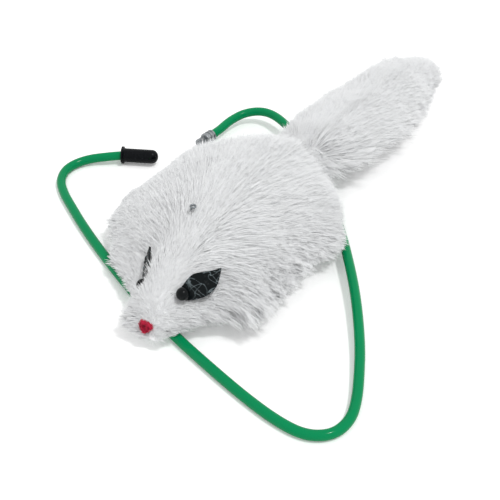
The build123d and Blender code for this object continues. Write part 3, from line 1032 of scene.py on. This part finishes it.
class MOUSE_OT_eyes(bpy.types.Operator):
    """Finishes the black bead eyes"""

    bl_idname = "fur_mouse.eyes"
    bl_label = "Bead eyes"

    def execute(self, context):
        glass = bead_glass_material()
        for node in ("left_eye", "right_eye"):
            dress_node(node, glass)
        return {"FINISHED"}


# Each ear's bead from the mouse's middle, its snout and the floor in mm, the way the ear points,
# its outer side, and which way round its leaf lies.
EAR_PLACES = {
    "left": ((9.4, 13.4, 21.5), (0.535, 0.735, 0.412), (0.43, -0.658, 0.618), 1),
    "right": ((-8.4, 13.6, 17.6), (-0.472, 0.813, 0.341), (-0.791, -0.561, 0.244), -1),
}


class MOUSE_OT_ears(bpy.types.Operator):
    """Shapes the two crinkled leather ears"""

    bl_idname = "fur_mouse.ears"
    bl_label = "Leather ears"

    def execute(self, context):
        settings = context.scene.fur_mouse_ear
        leather = dyed_leather_material(settings)
        for side, (place, pointing, outward, up) in EAR_PLACES.items():
            mesh = remeshed(node_mesh(side + "_ear_leather", side + "_ear"), 0.22 * MM)
            mesh.name = side + "_ear_leather"
            along = Vector(pointing).normalized()
            out = Vector(outward).normalized()
            across = out.cross(along).normalized() * up
            pin = Vector((MIDDLE_X + place[0] * MM, SNOUT_Y + place[1] * MM, place[2] * MM))
            crease_highlight_and_wear = np.zeros(len(mesh.vertices))
            for vert in mesh.vertices:
                from_pin = vert.co - pin
                u, v = from_pin.dot(along) / MM, from_pin.dot(across) / MM
                rim = max(0.0, abs(v + 0.4) - 1.6) / 3.0
                free = min(1.0, max(0.0, (math.hypot(u, v) - 2.2) / 3.0))
                fold = noise.noise(Vector((u * 0.28, v * 0.5, 3.1 * up)))
                crinkle = noise.noise(Vector((u * 0.75, v * 0.9, 7.7 * up)))
                # Long creases run from the bead to the tip, and a few cross them.
                along_crease = noise.noise(Vector((u * 0.13, v * 0.55, 5.3 * up)))
                cross_crease = noise.noise(Vector((u * 0.42 + 9, v * 0.2, 2.1 * up)))
                ridge = max(0.0, 1 - min(abs(along_crease) / 0.045, abs(cross_crease) / 0.04))
                # The crease ridges are marked pale here: partly worn dye, partly a painted highlight of the
                # crinkles.
                crease_highlight_and_wear[vert.index] = min(1.0, free * ridge)
                lift = settings.curl * rim**1.5 + free * (0.55 * fold + 0.3 * crinkle + 0.22 * ridge) * MM
                vert.co += out * lift
            layer = mesh.attributes.new("crease_highlight_and_wear", "FLOAT", "POINT")
            layer.data.foreach_set("value", crease_highlight_and_wear.astype(np.float32))
            smooth_shaded(mesh)
            name = side + "_ear"
            ear = new_object(name + "_leather", mesh, name, leather, name, slot="ear_leather")
            smooth = ear.modifiers.new("smooth", "SMOOTH")
            smooth.factor, smooth.iterations = 0.5, 4
        return {"FINISHED"}


class MOUSE_OT_nose(bpy.types.Operator):
    """Shapes the felt nose and its loose fibres"""

    bl_idname = "fur_mouse.nose"
    bl_label = "Felt nose"

    def execute(self, context):
        settings = context.scene.fur_mouse_nose
        deep = tuple(c * 0.7 for c in settings.colour)
        felt = napped_material("crimson_wool_felt", deep, settings.colour, 0.6 * MM)
        mesh = remeshed(node_mesh("felt_nose", "nose"), 0.2 * MM)
        mesh.name = "felt_nose"
        for vert in mesh.vertices:
            place = vert.co / MM
            ragged = noise.noise(place * 0.9) * 0.45 + noise.noise(place * 2.4) * 0.22
            vert.co += vert.normal * ragged * MM
        smooth_shaded(mesh)
        new_object("felt_nose", mesh, "mouse", felt, "nose", slot="nose_felt")
        rng = np.random.default_rng(11)
        roots, normals = even_roots(mesh, 1500, rng, 1.0)
        comb = [(0, 0, 0.2, 0.3, settings.fuzz / MM), (0, 6, -0.2, 0.3, settings.fuzz / MM)]
        points = grown(roots, normals, comb, 0, rng, lift=0.9, lie=0.7, pull=(0.2, 0.3), tuft=0.6)
        fuzz = ribbons("felt_nose_fibres", points, normals, 0.09 * MM, rng)
        new_object("felt_nose_fibres", fuzz, "mouse", felt, slot="nose_felt")
        return {"FINISHED"}


class MOUSE_OT_undercoat(bpy.types.Operator):
    """Makes the woolly undercoat of the body, head and tail"""

    bl_idname = "fur_mouse.undercoat"
    bl_label = "Undercoat"

    def execute(self, context):
        wool = rabbit_underfur_material(context.scene.fur_mouse_fur)
        solid = node_mesh("body_undercoat", "body_fur", "head_fur", "shell_top", "shell_base")
        skin = remeshed(solid, WOOL_VOXEL)
        skin.name = "body_undercoat"

        def body_depth(place, normal):
            if normal.z <= UNDERSIDE:
                return 0.1 * coat_depth(place.y)
            return coat_depth(place.y) - 2.4 * MM * brow_of(place) * max(0.0, normal.z)

        sunk_skin(skin, body_depth)
        new_object("body_undercoat", skin, "mouse", wool, "body_fur", "head_fur", slot="fur")
        brush = remeshed(node_mesh("tail_undercoat", "tail_fur", "tail_strip"), WOOL_VOXEL)
        brush.name = "tail_undercoat"
        sunk_skin(brush, lambda place, normal: TAIL_COAT_DEPTH * (1 if normal.z > UNDERSIDE else 0.2))
        new_object("tail_undercoat", brush, "tail", wool, "tail_fur", slot="fur")
        return {"FINISHED"}


class MOUSE_OT_coat(bpy.types.Operator):
    """Grows the combed hair of the body, head and tail"""

    bl_idname = "fur_mouse.coat"
    bl_label = "Coat"

    def execute(self, context):
        settings = context.scene.fur_mouse_fur
        hair = rabbit_fur_material(settings)
        skin = bpy.data.objects["body_undercoat"].data
        rng = np.random.default_rng(7)
        count = settings.body_strands + settings.head_strands
        roots, normals = even_roots(skin, count, rng, BELLY_SHARE)
        from_snout = (roots[:, 1] - SNOUT_Y) / MM
        head = from_snout < HEAD_END
        across = (roots[:, 0] - MIDDLE_X) / MM
        # Longer hairs stand over the far eye, and the rump's long hairs lift to reach over the tail's root.
        brow = np.array([brow_of(root) for root in roots]) * (normals[:, 2] > 0.2)
        rump_rise = np.exp(-(((across - 8) / 12) ** 2)) * ramp(from_snout, 88, 102)
        far_rise = ramp(-across, 20, 30) * ramp(from_snout, RUMP_START, RUMP_START + 14)
        # The short hair of the snout lies smooth; tufts form behind it.
        loose = np.clip((from_snout - 10) / 18, 0.05, 1)
        points = grown(
            roots,
            normals,
            BODY_COMB + HEAD_COMB,
            coat_depth(roots[:, 1]) + (1.2 * brow + 4 * rump_rise) * MM,
            rng,
            lift=0.42 + 0.3 * brow + 0.35 * far_rise,
            lie=0.12 + 0.15 * brow + 0.3 * far_rise,
            droop=0.1 + 0.35 * rump_rise,
            pull=(0.07 * loose, 0.6 * loose),
            rim=COAT_RIM,
            ragged=ramp(-from_snout, -94, -84),
        )
        width = np.where(from_snout < SNOUT_END, 0.6, 1.0) * settings.strand_width
        left = roots[:, 0] > MIDDLE_X
        shoulder = ~head & (from_snout < SHOULDER_END)
        rump = from_snout > RUMP_START
        flank = ~head & ~shoulder & ~rump
        parts = {
            "head_coat_right": head & ~left,
            "head_coat_left": head & left,
            "right_shoulder_coat": shoulder & ~left,
            "left_shoulder_coat": shoulder & left,
            "right_flank_coat": flank & ~left,
            "left_flank_coat": flank & left,
            "rump_coat_right": rump & ~left,
            "rump_coat_left": rump & left,
        }
        for name, part in parts.items():
            mesh = ribbons(name, points[part], normals[part], float(width[part].mean()), rng)
            new_object(name, mesh, "mouse", hair, slot="fur")
        brush = bpy.data.objects["tail_undercoat"].data
        roots, normals = even_roots(brush, settings.tail_strands, rng, TAIL_BELLY_SHARE)
        low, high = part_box("tail_fur")
        # The hair at the tail's root stands up to meet the rump's.
        root_rise = 1 - ramp((roots[:, 1] - low.y) / MM, 0, 20)
        points = grown(
            roots,
            normals,
            TAIL_COMB,
            TAIL_COAT_DEPTH,
            rng,
            lift=0.5 + 0.3 * root_rise,
            lie=0.18 + 0.12 * root_rise,
            pull=(0.07, 0.6),
            rim=COAT_RIM,
        )
        left = roots[:, 0] > (low.x + high.x) / 2
        for name, part in (("tail_coat_left", left), ("tail_coat_right", ~left)):
            mesh = ribbons(name, points[part], normals[part], settings.strand_width, rng)
            new_object(name, mesh, "tail", hair, slot="fur")
        return {"FINISHED"}


class MOUSE_PT_panel(bpy.types.Panel):
    """Lists the steps that dress the mouse"""

    bl_idname = "MOUSE_PT_panel"
    bl_label = "Fur Mouse"
    bl_space_type = "VIEW_3D"
    bl_region_type = "UI"
    bl_category = "Fur Mouse"

    def draw(self, context):
        scene = context.scene
        for name, group in SETTINGS:
            box = self.layout.box()
            for prop in group.__annotations__:
                box.prop(getattr(scene, name), prop)
        for step in STEPS:
            self.layout.operator(step.bl_idname)


SETTINGS = (
    ("fur_mouse_cord", CordSettings),
    ("fur_mouse_fur", FurSettings),
    ("fur_mouse_ear", EarSettings),
    ("fur_mouse_nose", NoseSettings),
    ("fur_mouse_stage", StageSettings),
)
STEPS = (
    MOUSE_OT_stage,
    MOUSE_OT_cord,
    MOUSE_OT_fittings,
    MOUSE_OT_eyes,
    MOUSE_OT_ears,
    MOUSE_OT_nose,
    MOUSE_OT_undercoat,
    MOUSE_OT_coat,
)


def register():
    for name, group in SETTINGS:
        bpy.utils.register_class(group)
        setattr(bpy.types.Scene, name, bpy.props.PointerProperty(type=group))
    for step in STEPS:
        bpy.utils.register_class(step)
    bpy.utils.register_class(MOUSE_PT_panel)


def unregister():
    bpy.utils.unregister_class(MOUSE_PT_panel)
    for step in reversed(STEPS):
        bpy.utils.unregister_class(step)
    for name, group in reversed(SETTINGS):
        delattr(bpy.types.Scene, name)
        bpy.utils.unregister_class(group)


def main():
    """Runs every step in order."""
    register()
    for step in STEPS:
        group, name = step.bl_idname.split(".")
        getattr(getattr(bpy.ops, group), name)()


if __name__ == "__main__":
    main()
